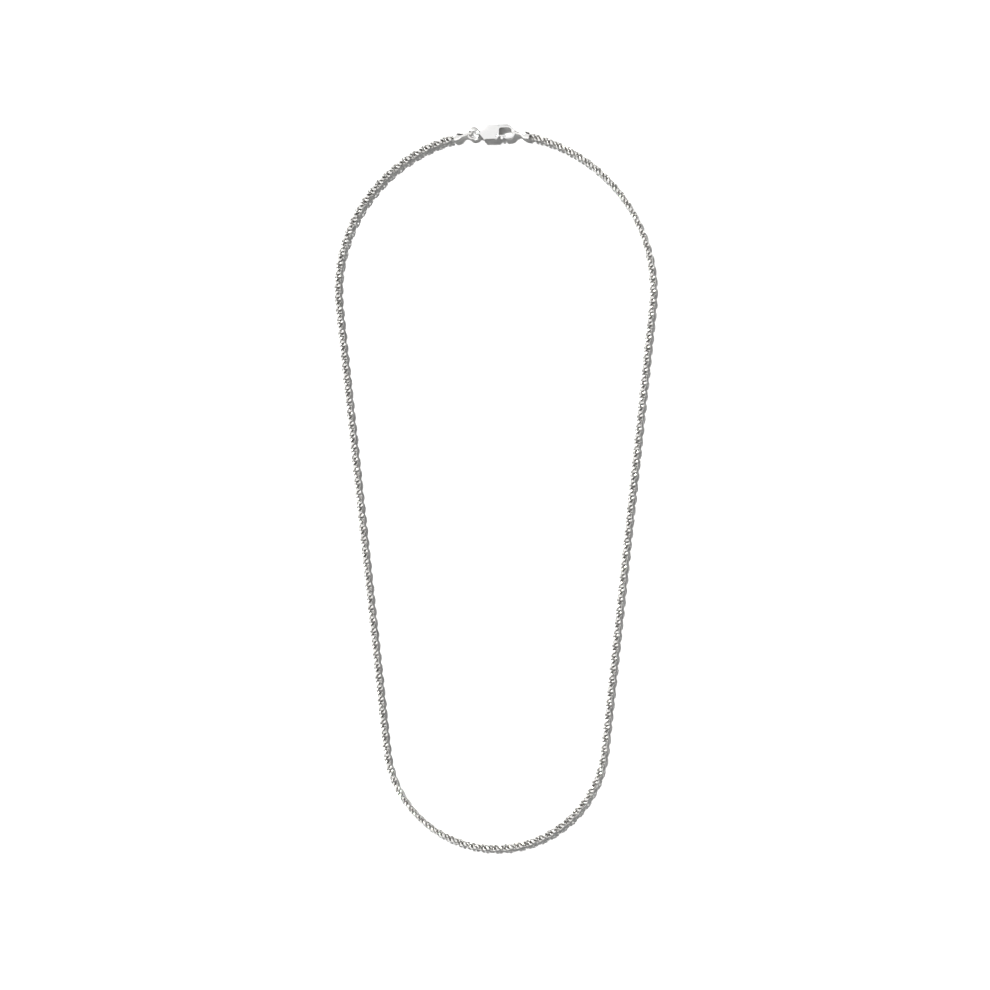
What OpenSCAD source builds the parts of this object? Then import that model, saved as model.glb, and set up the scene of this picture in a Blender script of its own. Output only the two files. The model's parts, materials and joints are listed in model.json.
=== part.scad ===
// Rope-chain necklace with a trigger clasp, lying closed on a flat surface.
// All sizes are in millimetres. +X is to the right, +Y is towards the clasp, +Z is up.
// The origin is the middle of the necklace's outline, on the surface that it lies on.

/* [Necklace outline] */
// Radius of the upper bend, to the middle of the chain
upper_bend_r = 46; // [40:1:56]
// Radius of the lower bend, to the middle of the chain
lower_bend_r = 32; // [26:1:39]
// Distance between the centres of the two bends
bend_distance = 131; // [105:1:158]
// How far the clasp has slid to the left of the top, as an angle round the upper bend
clasp_slide = 1.4; // [0:0.1:5]

/* [Rope chain] */
// Thickness of the wire of every link
wire_d = 0.32; // [0.27:0.01:0.34]

/* [End caps] */
// Length of a cap, from its loop's centre to its mouth
cap_length = 4.55; // [4:0.05:6]
// Diameter of a cap's barrel
cap_d = 2.2; // [2.1:0.05:2.8]
// Diameter of the neck between barrel and loop
cap_neck_d = 0.9; // [0.6:0.05:1.2]
// Width of the loop, along its hole
loop_width = 0.75; // [0.5:0.05:0.85]
// Thickness of the loop's wall
loop_wall = 0.27; // [0.2:0.01:0.4]

/* [Jump ring] */
// Outer diameter of the jump ring
ring_d = 3.65; // [3.5:0.05:5]
// Thickness of the jump ring's wire
ring_wire_d = 0.7; // [0.5:0.05:0.8]

/* [Clasp] */
// Distance from the clasp's eye to the middle of the hook's far rim
clasp_reach = 10.4; // [9.6:0.1:13]
// Height of the clasp's side, from its lower edge to its upper edge
clasp_height = 4.12; // [3.8:0.02:5]
// Thickness of the clasp's body
clasp_t = 2; // [1.8:0.05:2.4]
// Thickness of the hook, where a cap's loop goes round it
hook_t = 1.05; // [0.7:0.05:1.15]
// Width of the hook's rim
rim_w = 0.62; // [0.4:0.02:0.75]
// Width of the bar above the hook's opening
top_bar_w = 0.87; // [0.5:0.01:1.1]
// Length of the hook's opening
opening_l = 4.1; // [3.6:0.1:5]
// Width of the mouth that the trigger closes
mouth_w = 1.6; // [1.4:0.05:1.8]

/* [Clasp works] */
// Diameter of the pivot pin
pin_d = 0.6; // [0.4:0.02:0.7]
// Thickness of the trigger
trigger_t = 0.8; // [0.5:0.05:0.9]
// Width of the trigger's arm
arm_w = 0.5; // [0.35:0.01:0.6]
// Diameter of the trigger's hub, round the pin
hub_d = 1.24; // [1.1:0.02:1.4]
// Thickness of the leaf spring
leaf_t = 0.09; // [0.06:0.01:0.12]

/* [Hidden] */
// Runs of chain that each move as one piece
RUNS = 48;
// Running clearances
PIN_CLEARANCE = 0.04;
TRIGGER_CLEARANCE = 0.05;
LOOP_CLEARANCE = 0.2;
// Space between a cap's mouth and the chain that is soldered into it
SOLDER_GAP = 0.1;
// Space where the closed loop of the necklace is opened, at the right cap's mouth
OPEN_GAP = 0.35;
// How far a cutting shape runs past the faces that it cuts
PAST = 1;

// The rope weave, as multiples of the wire's thickness and as angles.
// Each link passes through the next, and every second link lies in one strand.
WEAVE_BORE = 2.7;
WEAVE_OFFSET = 0.853;
WEAVE_PITCH = 1.31;
WEAVE_TILT = 47.7;
WEAVE_TURN = 202.5;
// Where a link's wire comes closest to the next link's, from the link's place on the rope's
// middle line, and the thickness of the solder bead there
BEAD_PLACE = [0.781, 0.895, 0.892];
BEAD_SIZE = 0.42;

link_r = (WEAVE_BORE + 1) * wire_d / 2;
link_offset = WEAVE_OFFSET * wire_d;
link_reach = link_r * sin(WEAVE_TILT) + wire_d / 2;
chain_r = link_offset + link_r + wire_d / 2;
bead_r = BEAD_SIZE * wire_d / 2;

// The loops of the caps and the eye of the clasp share one height
rim_corner = sqrt(pow(rim_w, 2) + pow(hook_t, 2)) / 2;
loop_bore_r = max(rim_corner, ring_wire_d / 2) + LOOP_CLEARANCE + 0.04;
loop_r = loop_bore_r + loop_wall;
loop_z = max(loop_r, cap_d / 2);
ring_r = (ring_d - ring_wire_d) / 2;
eye_bore_r = ring_wire_d / 2 + LOOP_CLEARANCE;
eye_wall = 0.4;
eye_width = 0.9;

// Where the chain's two ends meet their caps, as angles from the top of the upper bend
hardware_span = 2 * ring_r + clasp_reach;
loop_path_r = sqrt(pow(upper_bend_r, 2) + pow(cap_length, 2));
half_gap = asin(hardware_span / (2 * loop_path_r));
cap_angle = atan(cap_length / upper_bend_r);
left_angle = half_gap + cap_angle + clasp_slide;
right_angle = half_gap + cap_angle - clasp_slide;

// The clasp's eye is a little below the middle of its side
eye_drop = 0.16;
clasp_top = clasp_height / 2 + eye_drop;
clasp_bottom = -clasp_height / 2 + eye_drop;

// Height of the upper bend's centre that puts the origin in the middle of the outline
top_rise = loop_path_r * cos(half_gap) + clasp_top;
upper_y = (bend_distance + lower_bend_r + chain_r - top_rise) / 2;
lower_y = upper_y - bend_distance;

// The middle line of the chain: upper bend, left side, lower bend, right side, upper bend
taper = asin((upper_bend_r - lower_bend_r) / bend_distance);
side_length = bend_distance * cos(taper);
left_bend_end = arc_length(upper_bend_r, 90 + taper - left_angle);
left_side_end = left_bend_end + side_length;
lower_bend_end = left_side_end + arc_length(lower_bend_r, 180 - 2 * taper);
right_side_end = lower_bend_end + side_length;
chain_length = right_side_end + arc_length(upper_bend_r, 90 + taper - right_angle);

// Whole links in each run, and their exact spacing
first_link = link_reach + SOLDER_GAP;
links_span = chain_length - first_link - link_reach - OPEN_GAP;
run_links = floor(links_span / (WEAVE_PITCH * wire_d * RUNS));
pitch = links_span / (RUNS * run_links - 1);

function arc_length(r, angle) = r * angle * PI / 180;
function arc_angle(r, distance) = distance / r * 180 / PI;

// A point of the middle line is [x, y, heading]
function on_bend(y, r, angle) = [r * cos(angle), y + r * sin(angle), angle + 90];
function ahead(p, distance) = [p[0] + distance * cos(p[2]), p[1] + distance * sin(p[2]), p[2]];

function middle_line(s) =
    s < left_bend_end ? on_bend(upper_y, upper_bend_r, 90 + left_angle + arc_angle(upper_bend_r, s)) :
    s < left_side_end ? ahead(on_bend(upper_y, upper_bend_r, 180 + taper), s - left_bend_end) :
    s < lower_bend_end ?
        on_bend(lower_y, lower_bend_r, 180 + taper + arc_angle(lower_bend_r, s - left_side_end)) :
    s < right_side_end ? ahead(on_bend(lower_y, lower_bend_r, -taper), s - lower_bend_end) :
    on_bend(upper_y, upper_bend_r, -taper + arc_angle(upper_bend_r, s - right_side_end));

left_mouth = middle_line(0);
right_mouth = middle_line(chain_length);
left_loop = ahead(left_mouth, -cap_length);
right_loop = ahead(right_mouth, cap_length);
clasp_angle = atan2(right_loop[1] - left_loop[1], right_loop[0] - left_loop[0]);
ring_centre = ahead([left_loop[0], left_loop[1], clasp_angle], ring_r);
eye = ahead(ring_centre, ring_r);

// The clasp's own frame: the origin is the eye, and +X runs along the body to the hook
hook_tip_x = clasp_reach + rim_w / 2;
opening_x = hook_tip_x - rim_w - opening_l;
nose_r = -clasp_bottom;
nose_x = hook_tip_x - nose_r;
shoulder_r = 2.1 * nose_r;
shoulder_y = -0.75 * nose_r;
shoulder_x = hook_tip_x - sqrt(pow(shoulder_r, 2) - pow(shoulder_y, 2));
tail_x = 0.45;
tail_half = 0.65;
tail_slope = 1.2;
corner_cut = 0.75;
opening_corner_r = 0.8;
taper_start = opening_x + 0.2;
taper_end = taper_start + 2.6;
lip_y = -(nose_r - rim_w);
pivot = [opening_x - 0.85, lip_y + TRIGGER_CLEARANCE + arm_w / 2];
mouth_end_x = opening_x + mouth_w;
arm_end_x = mouth_end_x + 0.5;
heel_l = 1.05;
nub_r = 0.42;
slot_t = trigger_t + 2 * TRIGGER_CLEARANCE;
slot_x = pivot[0] - 1.35;
slot_top = pivot[1] + 1.05;
slot_floor = pivot[1] - 0.72;
slot_mouth_x = pivot[0] - 0.4;

SILVER = [0.86, 0.86, 0.85];
BRIGHT_SILVER = [0.93, 0.93, 0.92];
SPRING_STEEL = [0.6, 0.61, 0.63];

function run_name(run) = str("chain_", run < 10 ? "0" : "", run);

module round_wire_ring(mean_r, wire) {
    rotate_extrude($fn = 48)
        translate([mean_r, 0])
            circle(d = wire, $fn = 24);
}

// A link's place along the rope, with the rope's middle line along Z
module at_link(number) {
    place = middle_line(first_link + number * pitch);
    translate([place[0], place[1], chain_r])
        rotate([0, 90, place[2]])
            rotate([0, 0, -WEAVE_TURN * number])
                children();
}

module link(number) {
    at_link(number)
        translate([link_offset, 0, 0])
            rotate([WEAVE_TILT, 0, 0])
                round_wire_ring(link_r, wire_d);
}

// Solder between a link and the next one, where their wires come closest
module solder_bead(number) {
    at_link(number)
        translate(BEAD_PLACE * wire_d)
            sphere(r = bead_r, $fn = 24);
}

// The links of a run are soldered to each other, and pass freely through the next run's
module chain_run(run) {
    first = (run - 1) * run_links;
    last = run * run_links - 1;
    color(BRIGHT_SILVER) {
        for (number = [first : last])
            link(number);
        for (number = [first : last - 1])
            solder_bead(number);
    }
}

module place_clasp() {
    translate([eye[0], eye[1], 0])
        rotate([0, 0, clasp_angle])
            children();
}

module jump_ring() {
    color(SILVER)
        translate([ring_centre[0], ring_centre[1], loop_z])
            round_wire_ring(ring_r, ring_wire_d);
}

// A cap in its own frame: the origin is the loop's centre, and the barrel runs along +X
module end_cap() {
    barrel_r = cap_d / 2;
    neck_r = cap_neck_d / 2;
    neck_x = loop_bore_r + 0.05;
    lip = 0.1;
    color(SILVER) {
        rotate([0, 90, 0])
            rotate_extrude($fn = 48)
                polygon([
                    [0, neck_x],
                    [neck_r, neck_x],
                    [neck_r, 0.3 * cap_length],
                    [0.8 * barrel_r, 0.56 * cap_length],
                    [barrel_r, 0.74 * cap_length],
                    [barrel_r, cap_length - lip],
                    [barrel_r - lip, cap_length],
                    [0, cap_length]
                ]);
        rotate([90, 0, 0])
            difference() {
                cylinder(h = loop_width, r = loop_r, center = true, $fn = 48);
                cylinder(h = loop_width + PAST, r = loop_bore_r, center = true, $fn = 48);
            }
    }
}

module left_end_cap() {
    translate([left_loop[0], left_loop[1], loop_z])
        rotate([0, 0, left_loop[2]])
            end_cap();
}

module right_end_cap() {
    translate([right_loop[0], right_loop[1], loop_z])
        rotate([0, 0, right_loop[2] + 180])
            end_cap();
}

// The hook's outline, drawn in by the given distance
module hook_outline(inset) {
    intersection() {
        translate([shoulder_x, shoulder_y])
            circle(r = shoulder_r - inset, $fn = 96);
        union() {
            translate([taper_start - 2, clasp_bottom + inset])
                square([nose_x - taper_start + 2, clasp_height - 2 * inset]);
            translate([nose_x - PAST, 0])
                square([2 * nose_r, clasp_top - inset]);
            translate([nose_x, 0])
                circle(r = nose_r - inset, $fn = 96);
        }
    }
}

module body_outline() {
    polygon([
        [tail_x, -tail_half],
        [tail_x + (nose_r - tail_half) / tail_slope, clasp_bottom],
        [opening_x - corner_cut, clasp_bottom],
        [opening_x, clasp_bottom + corner_cut],
        [opening_x, clasp_top],
        [tail_x + (clasp_top - tail_half) / tail_slope, clasp_top],
        [tail_x, tail_half]
    ]);
}

module opening_outline() {
    top = clasp_top - top_bar_w;
    intersection() {
        hook_outline(rim_w);
        union() {
            translate([opening_x, lip_y])
                square([opening_l + PAST, top - opening_corner_r - lip_y]);
            translate([opening_x + opening_corner_r, lip_y])
                square([opening_l + PAST, top - lip_y]);
            translate([opening_x + opening_corner_r, top - opening_corner_r])
                circle(r = opening_corner_r, $fn = 48);
        }
    }
}

// The clasp's side view: thick along the body, thinner round the hook
module clasp_side_view() {
    hook_low = loop_z - hook_t / 2;
    hook_high = loop_z + hook_t / 2;
    polygon([
        [-PAST, 0],
        [taper_start, 0],
        [taper_end, hook_low],
        [hook_tip_x + PAST, hook_low],
        [hook_tip_x + PAST, hook_high],
        [taper_end, hook_high],
        [taper_start, clasp_t],
        [-PAST, clasp_t]
    ]);
}

module slot_outline() {
    translate([slot_x, slot_floor])
        square([opening_x + PAST / 4 - slot_x, slot_top - slot_floor]);
    translate([slot_mouth_x, clasp_bottom - PAST])
        square([opening_x + PAST / 4 - slot_mouth_x, slot_top - clasp_bottom + PAST]);
}

module clasp_body() {
    color(SILVER)
        place_clasp()
            difference() {
                union() {
                    intersection() {
                        linear_extrude(clasp_t + PAST)
                            difference() {
                                union() {
                                    body_outline();
                                    intersection() {
                                        hook_outline(0);
                                        translate([opening_x - PAST / 4, clasp_bottom + corner_cut])
                                            square([2 * opening_l, clasp_height]);
                                    }
                                    intersection() {
                                        hook_outline(0);
                                        translate([mouth_end_x, clasp_bottom])
                                            square([2 * opening_l, clasp_height]);
                                    }
                                }
                                opening_outline();
                                translate([opening_x, clasp_bottom - PAST])
                                    square([mouth_w, nose_r - rim_w + PAST]);
                            }
                        translate([0, clasp_height, 0])
                            rotate([90, 0, 0])
                                linear_extrude(2 * clasp_height)
                                    clasp_side_view();
                    }
                    translate([0, 0, loop_z])
                        rotate([90, 0, 0])
                            cylinder(h = eye_width, r = eye_bore_r + eye_wall, center = true, $fn = 48);
                }
                translate([0, 0, loop_z])
                    rotate([90, 0, 0])
                        cylinder(h = 2 * tail_half + PAST, r = eye_bore_r, center = true, $fn = 48);
                translate([0, 0, loop_z - slot_t / 2])
                    linear_extrude(slot_t)
                        slot_outline();
                translate([pivot[0], pivot[1], -PAST])
                    cylinder(h = clasp_t + 2 * PAST, d = pin_d, $fn = 32);
            }
}

module clasp_trigger() {
    color(BRIGHT_SILVER)
        place_clasp()
            translate([0, 0, loop_z - trigger_t / 2])
                difference() {
                    linear_extrude(trigger_t) {
                        translate(pivot)
                            circle(d = hub_d, $fn = 48);
                        translate([pivot[0] - heel_l, pivot[1] - 0.2])
                            square([heel_l, 0.4]);
                        translate([pivot[0], pivot[1] - arm_w / 2])
                            square([arm_end_x - pivot[0] - arm_w / 2, arm_w]);
                        translate([arm_end_x - arm_w / 2, pivot[1]])
                            circle(d = arm_w, $fn = 32);
                        translate([opening_x + mouth_w / 2, pivot[1] - arm_w / 2 - nub_r])
                            circle(r = nub_r, $fn = 32);
                        translate([opening_x + mouth_w / 2 - nub_r / 2, pivot[1] - arm_w / 2 - nub_r])
                            square([nub_r, nub_r + arm_w / 2]);
                    }
                    translate([pivot[0], pivot[1], -PAST])
                        cylinder(h = trigger_t + 2 * PAST, r = pin_d / 2 + PIN_CLEARANCE, $fn = 32);
                }
}

module clasp_pivot_pin() {
    color(SILVER)
        place_clasp()
            translate(pivot)
                cylinder(h = clasp_t, d = pin_d, $fn = 32);
}

// A bent leaf that lies on the slot's floor and pushes the trigger's heel up
module clasp_spring() {
    leaf_w = slot_t - 2 * TRIGGER_CLEARANCE;
    leaf_floor = slot_floor + 0.01;
    leaf_x = slot_x + 0.04;
    tip = [pivot[0] - 0.75, pivot[1] - 0.22];
    color(SPRING_STEEL)
        place_clasp()
            translate([0, 0, loop_z - leaf_w / 2])
                linear_extrude(leaf_w)
                    polygon([
                        [leaf_x + 0.75, leaf_floor],
                        [leaf_x, leaf_floor],
                        [leaf_x, leaf_floor + leaf_t],
                        tip,
                        [tip[0] + leaf_t, tip[1] - leaf_t],
                        [leaf_x + 1.8 * leaf_t, leaf_floor + leaf_t],
                        [leaf_x + 0.75, leaf_floor + leaf_t]
                    ]);
}

clasp_body();
clasp_trigger();
clasp_pivot_pin();
clasp_spring();
jump_ring();
left_end_cap();
right_end_cap();
for (run = [1 : RUNS])
    chain_run(run);
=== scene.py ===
import json
import math

import bmesh
import bpy
from mathutils import Matrix, Vector


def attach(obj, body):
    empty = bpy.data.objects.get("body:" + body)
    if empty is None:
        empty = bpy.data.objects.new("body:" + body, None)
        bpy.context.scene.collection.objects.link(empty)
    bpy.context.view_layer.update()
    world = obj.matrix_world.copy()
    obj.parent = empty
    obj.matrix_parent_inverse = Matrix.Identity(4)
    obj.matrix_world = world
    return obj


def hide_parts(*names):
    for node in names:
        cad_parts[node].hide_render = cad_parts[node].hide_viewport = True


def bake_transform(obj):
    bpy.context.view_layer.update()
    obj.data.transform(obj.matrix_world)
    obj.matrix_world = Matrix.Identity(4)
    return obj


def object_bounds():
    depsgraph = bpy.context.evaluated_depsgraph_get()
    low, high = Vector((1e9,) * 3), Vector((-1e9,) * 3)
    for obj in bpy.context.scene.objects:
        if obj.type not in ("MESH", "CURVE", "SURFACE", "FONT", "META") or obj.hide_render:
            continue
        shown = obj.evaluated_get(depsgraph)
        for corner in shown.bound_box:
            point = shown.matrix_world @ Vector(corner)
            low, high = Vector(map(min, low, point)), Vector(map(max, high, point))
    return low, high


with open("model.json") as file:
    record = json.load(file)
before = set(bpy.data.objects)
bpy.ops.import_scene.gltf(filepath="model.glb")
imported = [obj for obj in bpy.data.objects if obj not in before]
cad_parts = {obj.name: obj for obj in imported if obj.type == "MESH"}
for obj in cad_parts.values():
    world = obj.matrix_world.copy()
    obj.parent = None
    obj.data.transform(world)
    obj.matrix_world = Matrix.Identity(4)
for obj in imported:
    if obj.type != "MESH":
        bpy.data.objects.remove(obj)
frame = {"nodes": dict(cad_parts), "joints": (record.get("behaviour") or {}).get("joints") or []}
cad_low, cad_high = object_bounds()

MM = 0.001

# ---------------------------------------------------------------------------
# Camera
# Straight above the necklace, as it lies flat on the table, and a little
# below its middle, so that the necklace sits just above the picture's middle.
# ---------------------------------------------------------------------------
camera_height = 600 * MM
field_width = 289.5 * MM
middle = (cad_low + cad_high) / 2
lens_data = bpy.data.cameras.new("camera")
lens_data.sensor_width = 36
lens_data.lens = lens_data.sensor_width * camera_height / field_width
lens_data.clip_start = 10 * MM
lens_data.clip_end = 100
camera = bpy.data.objects.new("camera", lens_data)
camera.location = (middle.x, middle.y - 2.05 * MM, camera_height)
bpy.context.scene.collection.objects.link(camera)
bpy.context.scene.camera = camera
bpy.context.scene.view_settings.view_transform = "Standard"

# ---------------------------------------------------------------------------
# Table and studio light
# A white acrylic table, a small hard lamp high on the upper left that throws
# the short crisp shadow, a softbox overhead, and a white room with a black
# card at the upper right, which gives the polished metal its dark edges.
# ---------------------------------------------------------------------------


def linear(hex_colour):
    """An sRGB hex colour as the linear colour that a shader takes."""
    parts = [int(hex_colour[i : i + 2], 16) / 255 for i in (1, 3, 5)]
    return [c / 12.92 if c <= 0.04045 else ((c + 0.055) / 1.055) ** 2.4 for c in parts] + [1]


def add_node(tree, kind, inputs=(), **settings):
    """Adds a node, sets its properties, and fills its inputs with values or links."""
    node = tree.nodes.new(kind)
    for name, value in settings.items():
        setattr(node, name, value)
    for name, value in dict(inputs).items():
        if isinstance(value, bpy.types.NodeSocket):
            tree.links.new(value, node.inputs[name])
        else:
            node.inputs[name].default_value = value
    return node


def new_material(name):
    material = bpy.data.materials.new(name)
    material.use_nodes = True
    material.node_tree.nodes.clear()
    return material, material.node_tree


def finish_material(tree, shader):
    add_node(tree, "ShaderNodeOutputMaterial", {"Surface": shader.outputs[0]})


def matt_white_acrylic():
    material, tree = new_material("matt_white_acrylic")
    place = add_node(tree, "ShaderNodeTexCoord").outputs["Object"]
    grain = add_node(tree, "ShaderNodeTexNoise", {"Vector": place, "Scale": 900, "Detail": 3})
    bump = add_node(tree, "ShaderNodeBump", {
        "Height": grain.outputs["Fac"], "Strength": 0.02, "Distance": 0.0001})
    shader = add_node(tree, "ShaderNodeBsdfPrincipled", {
        "Base Color": linear("#EDEDEC"), "Roughness": 0.7, "Specular IOR Level": 0.1,
        "Normal": bump.outputs[0]})
    finish_material(tree, shader)
    return material


table_mesh = bpy.data.meshes.new("table")
table_bm = bmesh.new()
bmesh.ops.create_grid(table_bm, x_segments=1, y_segments=1, size=12)
table_bm.to_mesh(table_mesh)
table_bm.free()
table_mesh.materials.append(matt_white_acrylic())
table = bpy.data.objects.new("table", table_mesh)
bpy.context.scene.collection.objects.link(table)

lamp_data = bpy.data.lights.new("hard_lamp", "SUN")
lamp_data.energy = 5.2
lamp_data.angle = math.radians(6)
lamp = bpy.data.objects.new("hard_lamp", lamp_data)
lamp.rotation_euler = Vector((-0.6, 0.76, 1)).to_track_quat("Z", "Y").to_euler()
bpy.context.scene.collection.objects.link(lamp)

softbox_data = bpy.data.lights.new("overhead_softbox", "AREA")
softbox_data.shape = "SQUARE"
softbox_data.size = 0.8
softbox_data.energy = 1.6
softbox = bpy.data.objects.new("overhead_softbox", softbox_data)
softbox.location = (middle.x, middle.y, 1.2)
softbox.visible_glossy = False
bpy.context.scene.collection.objects.link(softbox)

room = bpy.data.worlds.new("white_room")
room.use_nodes = True
room_tree = room.node_tree
room_tree.nodes.clear()
ray = add_node(room_tree, "ShaderNodeLightPath")
direction = add_node(room_tree, "ShaderNodeTexCoord").outputs["Generated"]
height = add_node(room_tree, "ShaderNodeSeparateXYZ", {"Vector": direction}).outputs["Z"]
walls = add_node(room_tree, "ShaderNodeValToRGB", {"Fac": height})
walls.color_ramp.elements[0].position = 0.0
walls.color_ramp.elements[0].color = (1.1, 1.1, 1.1, 1)
walls.color_ramp.elements[1].position = 0.75
walls.color_ramp.elements[1].color = (0.9, 0.9, 0.9, 1)
towards_card = add_node(room_tree, "ShaderNodeVectorMath", {0: direction, 1: (0.517, 0.775, 0.362)},
                        operation="DOT_PRODUCT")
card = add_node(room_tree, "ShaderNodeMapRange", {
    "Value": towards_card.outputs["Value"], "From Min": 0.72, "From Max": 0.86})
around = add_node(room_tree, "ShaderNodeMix", {
    "Factor": card.outputs[0], "A": walls.outputs[0], "B": (0.05, 0.05, 0.05, 1)}, data_type="RGBA")
seen = add_node(room_tree, "ShaderNodeBackground", {"Color": (1, 1, 1, 1), "Strength": 1.05})
mirrored = add_node(room_tree, "ShaderNodeBackground", {"Color": around.outputs[2], "Strength": 1})
ambient = add_node(room_tree, "ShaderNodeBackground", {"Color": (1, 1, 1, 1), "Strength": 0.11})
soft = add_node(room_tree, "ShaderNodeMixShader", {
    0: ray.outputs["Is Glossy Ray"], 1: ambient.outputs[0], 2: mirrored.outputs[0]})
whole = add_node(room_tree, "ShaderNodeMixShader", {
    0: ray.outputs["Is Camera Ray"], 1: soft.outputs[0], 2: seen.outputs[0]})
add_node(room_tree, "ShaderNodeOutputWorld", {"Surface": whole.outputs[0]})
bpy.context.scene.world = room

# ---------------------------------------------------------------------------
# Rope chain
# About 1,150 rings of round silver wire, each passed through the next and
# laid as two left-hand strands, then cut with a diamond tool to eight flats.
# ---------------------------------------------------------------------------
upper_bend_r = 46 * MM
lower_bend_r = 32 * MM
bend_distance = 131 * MM
wire = 0.32 * MM
bore = 2.7 * wire
link_r = (bore + wire) / 2
link_offset = 0.853 * wire
link_tilt = math.radians(47.7)
link_turn = math.radians(-202.5)
rolls = 16
wire_sides = 6
link_steps = 12
crown_spread = 2.6
flats = 8
flat_depth = 0.93
rope_r = link_offset + link_r + wire / 2
runs = 48
run_links = 24
first_link = 0.69786 * MM
link_pitch = 0.420933 * MM
left_mouth_angle = math.radians(15.3517)
upper_centre = Vector((0, 58.0325 * MM))
lower_centre = Vector((0, upper_centre.y - bend_distance))
side_lean = math.asin((upper_bend_r - lower_bend_r) / bend_distance)
side_length = bend_distance * math.cos(side_lean)
left_bend = upper_bend_r * (math.pi / 2 + side_lean - left_mouth_angle)
lower_bend = lower_bend_r * (math.pi - 2 * side_lean)


def middle_line(distance):
    """The point of the rope's middle line this far from the left cap's mouth, and its heading."""

    def on_bend(centre, radius, angle):
        return centre + radius * Vector((math.cos(angle), math.sin(angle))), angle + math.pi / 2

    def on_side(start, run):
        point, heading = start
        return point + run * Vector((math.cos(heading), math.sin(heading))), heading

    if distance < left_bend:
        return on_bend(upper_centre, upper_bend_r, math.pi / 2 + left_mouth_angle + distance / upper_bend_r)
    distance -= left_bend
    if distance < side_length:
        return on_side(on_bend(upper_centre, upper_bend_r, math.pi + side_lean), distance)
    distance -= side_length
    if distance < lower_bend:
        return on_bend(lower_centre, lower_bend_r, math.pi + side_lean + distance / lower_bend_r)
    distance -= lower_bend
    if distance < side_length:
        return on_side(on_bend(lower_centre, lower_bend_r, -side_lean), distance)
    distance -= side_length
    return on_bend(upper_centre, upper_bend_r, -side_lean + distance / upper_bend_r)


def diamond_cut_link(roll):
    """One ring of wire at the rope's middle, with the rope along Z, turned by roll, and cut to the flats."""
    bm = bmesh.new()
    bmesh.ops.create_circle(bm, segments=wire_sides, radius=wire / 2)
    bmesh.ops.rotate(bm, matrix=Matrix.Rotation(math.pi / 2, 3, "X"), verts=bm.verts)
    bmesh.ops.translate(bm, vec=(link_r, 0, 0), verts=bm.verts)
    bmesh.ops.spin(bm, geom=bm.verts[:] + bm.edges[:], axis=(0, 0, 1), cent=(0, 0, 0),
                   angle=2 * math.pi, steps=link_steps, use_merge=True)
    bmesh.ops.remove_doubles(bm, verts=bm.verts, dist=wire / 1000)
    bmesh.ops.recalc_face_normals(bm, faces=bm.faces)
    for vert in bm.verts:
        outer = max(0, vert.co.x / vert.co.xy.length)
        vert.co.z *= 1 + (crown_spread - 1) * outer ** 1.5
    for face in bm.faces:
        face.smooth = True
    tilted = Matrix.Translation((link_offset, 0, 0)) @ Matrix.Rotation(link_tilt, 4, "X")
    place = Matrix.Rotation(roll, 4, "Z") @ tilted
    bmesh.ops.transform(bm, matrix=place, verts=bm.verts)
    for side in range(flats):
        angle = 2 * math.pi * side / flats
        outward = Vector((math.cos(angle), math.sin(angle), 0))
        cut = bmesh.ops.bisect_plane(
            bm, geom=bm.verts[:] + bm.edges[:] + bm.faces[:], dist=wire / 1000,
            plane_co=outward * rope_r * flat_depth, plane_no=outward, clear_outer=True)
        rim = [e for e in cut["geom_cut"] if isinstance(e, bmesh.types.BMEdge)]
        if rim:
            made = bmesh.ops.holes_fill(bm, edges=rim, sides=0)
            for face in made["faces"]:
                face.smooth = False
                for edge in face.edges:
                    edge.smooth = False
    # The depth attribute holds each point's distance from the rope's middle; the silver darkens its colour with it
    # as painted shade.
    depth = bm.verts.layers.float.new("depth")
    for vert in bm.verts:
        vert[depth] = math.hypot(vert.co.x, vert.co.y) / rope_r
    mesh = bpy.data.meshes.new("link")
    bm.to_mesh(mesh)
    bm.free()
    return mesh


def diamond_cut_silver():
    """Sterling silver, cut bright by a diamond tool on the crowns and rougher between them, its colour darkened
    deeper inside the rope as painted shade between the links.
    """
    material, tree = new_material("diamond_cut_sterling_silver")
    place = add_node(tree, "ShaderNodeTexCoord").outputs["Object"]
    depth = add_node(tree, "ShaderNodeAttribute", attribute_name="depth").outputs["Fac"]
    crown_and_painted_shade = add_node(tree, "ShaderNodeMapRange", {"Value": depth, "From Min": 0.45, "From Max": 0.76},
                     interpolation_type="SMOOTHSTEP")
    # Painted shade: the colour runs from #F1F0ED on the crowns to #716E6A deeper inside the rope, where shade
    # falls between the links.
    colour = add_node(tree, "ShaderNodeValToRGB", {"Fac": crown_and_painted_shade.outputs[0]})
    colour.color_ramp.elements[0].color = linear("#716E6A")
    colour.color_ramp.elements[1].color = linear("#F1F0ED")
    rough = add_node(tree, "ShaderNodeMapRange", {"Value": crown_and_painted_shade.outputs[0], "To Min": 0.5, "To Max": 0.14})
    marks = add_node(tree, "ShaderNodeTexNoise", {"Vector": place, "Scale": 14000, "Detail": 2})
    bump = add_node(tree, "ShaderNodeBump", {
        "Height": marks.outputs["Fac"], "Strength": 0.12, "Distance": 0.00002})
    shader = add_node(tree, "ShaderNodeBsdfPrincipled", {
        "Base Color": colour.outputs[0], "Metallic": 1, "Roughness": rough.outputs[0],
        "Normal": bump.outputs[0]})
    finish_material(tree, shader)
    return material


rope_silver = diamond_cut_silver()
links = [diamond_cut_link(link_turn * n) for n in range(rolls)]


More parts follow.
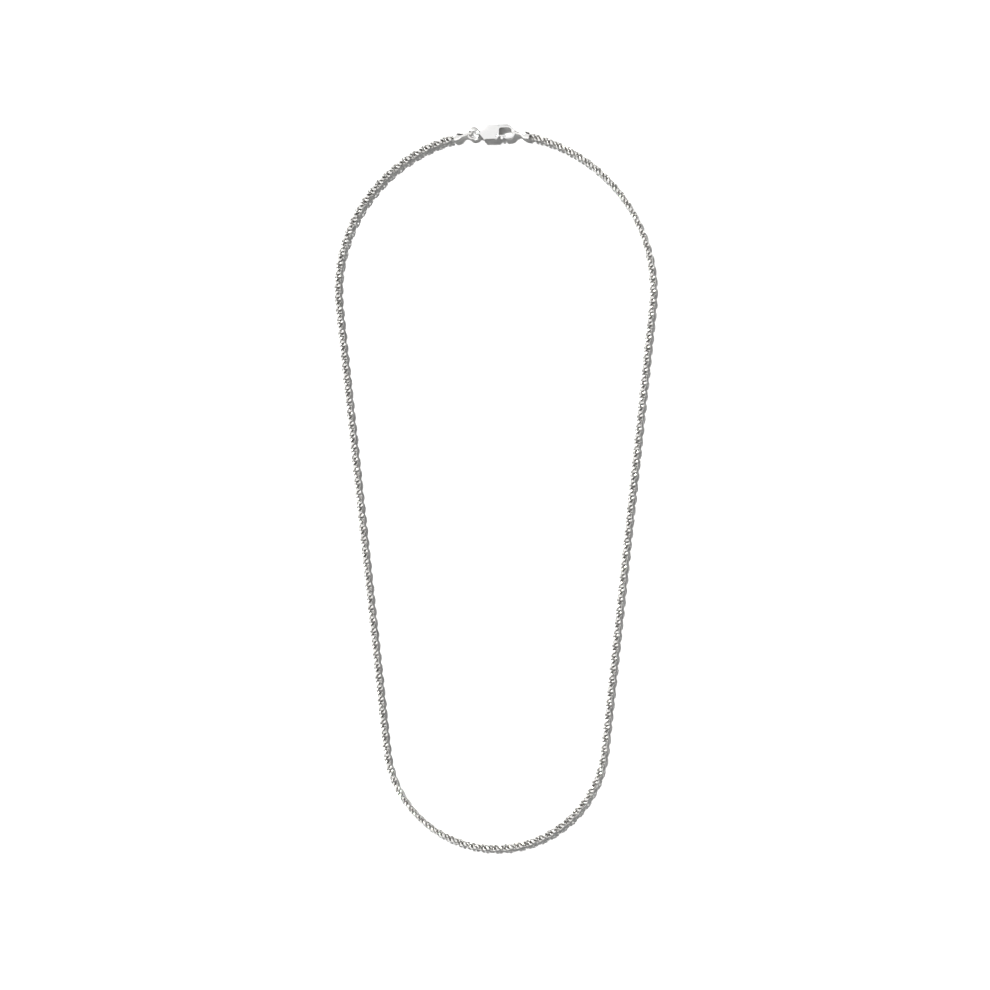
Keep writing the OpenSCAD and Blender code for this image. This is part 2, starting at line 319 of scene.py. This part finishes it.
def rope_piece(name, numbers):
    bm = bmesh.new()
    bm.verts.layers.float.new("depth")
    for n in numbers:
        (x, y), heading = middle_line(first_link + n * link_pitch)
        along = Matrix.Rotation(heading, 4, "Z") @ Matrix.Rotation(math.pi / 2, 4, "Y")
        lay = Matrix.Translation((x, y, rope_r)) @ along
        before = len(bm.verts)
        bm.from_mesh(links[n % rolls])
        bm.verts.ensure_lookup_table()
        bmesh.ops.transform(bm, matrix=lay, verts=bm.verts[before:])
    mesh = bpy.data.meshes.new(name)
    bm.to_mesh(mesh)
    bm.free()
    mesh.materials.append(rope_silver)
    piece = bpy.data.objects.new(name, mesh)
    bpy.context.scene.collection.objects.link(piece)
    return piece


def run_body(run):
    return "left_end" if run == 1 else f"chain_{run:02d}"


def line_point(number):
    (x, y), _ = middle_line(first_link + number * link_pitch)
    return (x, y, rope_r)


half_run = run_links // 2
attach(rope_piece("rope_start", range(-1, half_run)), run_body(1))
for run in range(1, runs):
    first = run * run_links - half_run
    piece = rope_piece(f"rope_{run:02d}", range(first, first + run_links))
    line_point(first - 0.5)
    line_point(first + run_links - 0.5)
    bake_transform(piece)
    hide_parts(f"chain_{run:02d}")
last_half = rope_piece("rope_end", range(runs * run_links - half_run, runs * run_links + 1))
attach(last_half, run_body(runs))
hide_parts(f"chain_{runs:02d}")
for mesh in links:
    bpy.data.meshes.remove(mesh)

# ---------------------------------------------------------------------------
# End caps
# Each is a silver barrel turned on a lathe, with a cup that the rope's end is
# soldered into, and a band of half-round wire soldered on as its loop.
# ---------------------------------------------------------------------------
joint_at = {j["name"]: Vector(j["pos_m"]) for j in frame["joints"]}
ring_centre = joint_at["left_cap_slide_round_ring"]
clasp_eye = joint_at["jump_ring_swing"]
right_loop = joint_at["right_cap_swing"]
clasp_line = (clasp_eye - ring_centre).normalized()
left_loop = ring_centre - clasp_line * (clasp_eye - ring_centre).length
cap_length = 4.55 * MM
cap_r = 1.1 * MM
neck_r = 0.45 * MM
loop_bore_r = 0.8497 * MM
loop_wall = 0.27 * MM
loop_width = 0.75 * MM
cup_r = 1.0 * MM
cup_depth = 0.42 * MM
swell_steps = 10


def polished_silver(name, face_hex, edge_hex, dull, bright, along=(1, 1, 1)):
    """Sterling silver, buffed bright, a little clouded by handling, with hairlines and bright edges.

    A face attribute marks side walls, wholly inside the clasp's opening and partly elsewhere, whose colour is
    mixed towards grey as painted shade.
    """
    material, tree = new_material(name)
    place = add_node(tree, "ShaderNodeTexCoord").outputs["Object"]
    edge = add_node(tree, "ShaderNodeAttribute", attribute_name="edge").outputs["Fac"]
    painted_wall_shade = add_node(tree, "ShaderNodeAttribute", attribute_name="painted_wall_shade").outputs["Fac"]
    handling = add_node(tree, "ShaderNodeTexNoise", {"Vector": place, "Scale": 500, "Detail": 4, "Roughness": 0.6})
    cloud = add_node(tree, "ShaderNodeMapRange", {
        "Value": handling.outputs["Fac"], "From Min": 0.35, "From Max": 0.7, "To Min": bright, "To Max": dull})
    rough = add_node(tree, "ShaderNodeMix", {"Factor": edge, "A": cloud.outputs[0], "B": bright})
    colour = add_node(tree, "ShaderNodeMix", {"Factor": edge, "A": linear(face_hex), "B": linear(edge_hex)},
                      data_type="RGBA")
    # Painted shade: the marked side walls are mixed towards grey #6A6866.
    wall_shaded_colour = add_node(tree, "ShaderNodeMix", {"Factor": painted_wall_shade, "A": colour.outputs[2], "B": linear("#6A6866")},
                    data_type="RGBA")
    stretch = add_node(tree, "ShaderNodeMapping", {"Vector": place, "Scale": along})
    hairs = add_node(tree, "ShaderNodeTexNoise", {"Vector": stretch.outputs[0], "Scale": 9000, "Detail": 3})
    bump = add_node(tree, "ShaderNodeBump", {
        "Height": hairs.outputs["Fac"], "Strength": 0.1, "Distance": 0.00001})
    shader = add_node(tree, "ShaderNodeBsdfPrincipled", {
        "Base Color": wall_shaded_colour.outputs[2], "Metallic": 1, "Roughness": rough.outputs["Result"],
        "Normal": bump.outputs[0]})
    finish_material(tree, shader)
    return material


def make_piece(name, bm, material):
    """A finished piece from its bmesh, sharp where its faces meet at more than 35 degrees."""
    for face in bm.faces:
        face.smooth = True
    for edge in bm.edges:
        if edge.is_manifold and edge.calc_face_angle() > math.radians(35):
            edge.smooth = False
    mesh = bpy.data.meshes.new(name)
    bm.to_mesh(mesh)
    bm.free()
    mesh.materials.append(material)
    piece = bpy.data.objects.new(name, mesh)
    bpy.context.scene.collection.objects.link(piece)
    return piece


def turned_barrel(bm):
    """The barrel along +X from the loop's centre, turned from its half section, with its cup."""
    root = loop_bore_r + 0.06 * MM
    section = [(root, 0), (root, neck_r * 1.05), (1.25 * MM, neck_r * 1.02)]
    for step in range(swell_steps + 1):
        share = step / swell_steps
        ease = share * share * (3 - 2 * share)
        section.append(((1.4 + 1.95 * share) * MM, neck_r + (cap_r - neck_r) * ease))
    section += [(cap_length - 0.1 * MM, cap_r), (cap_length - 0.03 * MM, cap_r - 0.03 * MM),
                (cap_length, cap_r - 0.06 * MM), (cap_length, cup_r), (cap_length - cup_depth, cup_r),
                (cap_length - cup_depth * 0.8, cup_r * 0.6), (cap_length - cup_depth * 0.75, 0)]
    chain = [bm.verts.new((x, 0, z)) for x, z in section]
    edges = [bm.edges.new(pair) for pair in zip(chain, chain[1:])]
    bmesh.ops.spin(bm, geom=chain + edges, axis=(1, 0, 0), cent=(0, 0, 0),
                   angle=2 * math.pi, steps=48, use_merge=True)
    bmesh.ops.remove_doubles(bm, verts=bm.verts, dist=MM / 5000)
    bmesh.ops.recalc_face_normals(bm, faces=bm.faces)


def half_round_band(bm, radius, wall, width):
    """A band round Y of half-round wire, closed to a ring."""
    before = set(bm.verts)
    made = bmesh.ops.create_circle(bm, segments=16, radius=1)["verts"]
    bmesh.ops.scale(bm, vec=(wall / 2, width / 2, 1), verts=made)
    bmesh.ops.translate(bm, vec=(radius, 0, 0), verts=made)
    rim = list({e for v in made for e in v.link_edges})
    bmesh.ops.spin(bm, geom=made + rim, axis=(0, 1, 0), cent=(0, 0, 0),
                   angle=2 * math.pi, steps=48, use_merge=True)
    band = [v for v in bm.verts if v not in before]
    bmesh.ops.remove_doubles(bm, verts=band, dist=MM / 5000)
    band_faces = list({f for v in bm.verts if v not in before for f in v.link_faces})
    bmesh.ops.recalc_face_normals(bm, faces=band_faces)


cap_silver = polished_silver("polished_sterling_silver_barrel", "#F3F2F0", "#FBFBFA", dull=0.24, bright=0.1,
                             along=(0.15, 1, 1))


def end_cap(name, node, body, loop_centre, heading):
    bm = bmesh.new()
    turned_barrel(bm)
    half_round_band(bm, loop_bore_r + loop_wall / 2, loop_wall, loop_width)
    placed = Matrix.Translation(loop_centre) @ Matrix.Rotation(heading, 4, "Z")
    bmesh.ops.transform(bm, matrix=placed, verts=bm.verts)
    piece = make_piece(name, bm, cap_silver)
    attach(piece, body)
    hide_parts(node)


chain_length = 486.1396 * MM
end_cap("end_cap_left", "left_end_cap", "left_end", left_loop, middle_line(0)[1])
end_cap("end_cap_right", "right_end_cap", "right_end", right_loop, middle_line(chain_length)[1] + math.pi)

# ---------------------------------------------------------------------------
# Jump ring
# A ring of 0.7 mm round silver wire, threaded through the cap's loop and the
# clasp's eye, closed and soldered, so that a slight swelling marks its seam.
# ---------------------------------------------------------------------------
ring_wire = 0.7 * MM
ring_r = (clasp_eye - ring_centre).length
seam_angle = math.radians(75)
seam_reach = math.radians(9)
seam_swell = 0.05

ring_bm = bmesh.new()
bmesh.ops.create_circle(ring_bm, segments=20, radius=ring_wire / 2)
bmesh.ops.rotate(ring_bm, matrix=Matrix.Rotation(math.pi / 2, 3, "X"), verts=ring_bm.verts)
bmesh.ops.translate(ring_bm, vec=(ring_r, 0, 0), verts=ring_bm.verts)
bmesh.ops.spin(ring_bm, geom=ring_bm.verts[:] + ring_bm.edges[:], axis=(0, 0, 1), cent=(0, 0, 0),
               angle=2 * math.pi, steps=96, use_merge=True)
bmesh.ops.remove_doubles(ring_bm, verts=ring_bm.verts, dist=MM / 5000)
bmesh.ops.recalc_face_normals(ring_bm, faces=ring_bm.faces)
for vert in ring_bm.verts:
    off_seam = abs(math.atan2(vert.co.y, vert.co.x) - seam_angle) / seam_reach
    wire_middle = vert.co.xy.normalized().to_3d() * ring_r
    vert.co = wire_middle + (vert.co - wire_middle) * (1 + seam_swell * max(0, 1 - off_seam) ** 0.5)
bmesh.ops.translate(ring_bm, vec=ring_centre, verts=ring_bm.verts)
ring_silver = polished_silver("polished_sterling_silver_wire", "#E6E5E3", "#FAFAF9", dull=0.16, bright=0.07)
ring_piece = make_piece("jump_ring_wire", ring_bm, ring_silver)
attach(ring_piece, "jump_ring")
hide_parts("jump_ring")

# ---------------------------------------------------------------------------
# Clasp body, trigger and pin
# The body is cast in silver with its slot and opening, then filed flat and
# buffed, which rounds its edges. The trigger is cut from sheet, and the pin
# is a rivet that is filed flush with both faces.
# ---------------------------------------------------------------------------
clasp_turn = Matrix.Rotation(math.atan2(clasp_line.y, clasp_line.x), 4, "Z")
to_clasp = (Matrix.Translation((clasp_eye.x, clasp_eye.y, 0)) @ clasp_turn).inverted()
opening_x = (5.9 * MM, 9.9 * MM)
opening_y = (-1.4 * MM, 1.45 * MM)
# Painted shade on the outer side walls: a little over half of the grey used inside the opening.
outer_painted_wall_shade = 0.55


def filed_and_buffed(node, width):
    """A copy of a CAD node's solid with its loose triangles merged and its sharp edges rounded."""
    bm = bmesh.new()
    bm.from_mesh(frame["nodes"][node].data)
    bmesh.ops.remove_doubles(bm, verts=bm.verts, dist=MM / 10000)
    bmesh.ops.dissolve_limit(bm, angle_limit=math.radians(1), verts=bm.verts, edges=bm.edges)
    edge_layer = bm.verts.layers.float.new("edge")
    sharp = [e for e in bm.edges if e.is_manifold and e.calc_face_angle() > math.radians(30)]
    rounded = bmesh.ops.bevel(bm, geom=sharp, offset=width, offset_type="OFFSET", segments=2, profile=0.5,
                              affect="EDGES", material=-1, clamp_overlap=True)
    for vert in rounded["verts"]:
        vert[edge_layer] = 1
    bmesh.ops.remove_doubles(bm, verts=bm.verts, dist=MM / 5000)
    bm.normal_update()
    # Painted shade: side walls inside the clasp's opening are marked for the full grey, other side walls for part
    # of it.
    painted_wall_shade = bm.faces.layers.float.new("painted_wall_shade")
    for face in bm.faces:
        if abs(face.normal.z) < 0.3:
            spot = to_clasp @ face.calc_center_median()
            inside = opening_x[0] < spot.x < opening_x[1] and opening_y[0] < spot.y < opening_y[1]
            face[painted_wall_shade] = 1 if inside else outer_painted_wall_shade
    return bm


plate_silver = polished_silver("buffed_sterling_silver_casting", "#EDECEA", "#FBFBFA", dull=0.17, bright=0.09,
                               along=(0.1, 1, 1))
body_bm = filed_and_buffed("clasp_body", 0.09 * MM)
body_piece = make_piece("clasp_casting", body_bm, plate_silver)
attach(body_piece, "clasp")
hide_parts("clasp_body")

trigger_bm = filed_and_buffed("clasp_trigger", 0.06 * MM)
trigger_piece = make_piece("clasp_lever", trigger_bm, ring_silver)
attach(trigger_piece, "trigger")
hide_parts("clasp_trigger")

pin_bm = filed_and_buffed("clasp_pivot_pin", 0.05 * MM)
pin_piece = make_piece("clasp_rivet", pin_bm, plate_silver)
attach(pin_piece, "clasp")
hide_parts("clasp_pivot_pin")


# ---------------------------------------------------------------------------
# Leaf spring
# A strip of hardened spring steel, bent double and pushed into the body's
# slot, left as rolled, so that fine lines run along it.
# ---------------------------------------------------------------------------
def rolled_spring_steel():
    """Bare spring steel, cold rolled: grey, with lines about 0.02 mm apart along the strip."""
    material, tree = new_material("rolled_spring_steel")
    place = add_node(tree, "ShaderNodeTexCoord").outputs["Object"]
    stretch = add_node(tree, "ShaderNodeMapping", {"Vector": place, "Scale": (1, 1, 12)})
    lines = add_node(tree, "ShaderNodeTexNoise", {"Vector": stretch.outputs[0], "Scale": 4000, "Detail": 3})
    colour = add_node(tree, "ShaderNodeValToRGB", {"Fac": lines.outputs["Fac"]})
    colour.color_ramp.elements[0].color = linear("#7D8084")
    colour.color_ramp.elements[1].color = linear("#A9ACB0")
    rough = add_node(tree, "ShaderNodeMapRange", {
        "Value": lines.outputs["Fac"], "To Min": 0.25, "To Max": 0.45})
    bump = add_node(tree, "ShaderNodeBump", {
        "Height": lines.outputs["Fac"], "Strength": 0.2, "Distance": 0.00001})
    shader = add_node(tree, "ShaderNodeBsdfPrincipled", {
        "Base Color": colour.outputs[0], "Metallic": 1, "Roughness": rough.outputs[0],
        "Normal": bump.outputs[0]})
    finish_material(tree, shader)
    return material


spring = frame["nodes"]["clasp_spring"]
spring.data.materials.clear()
spring.data.materials.append(rolled_spring_steel())
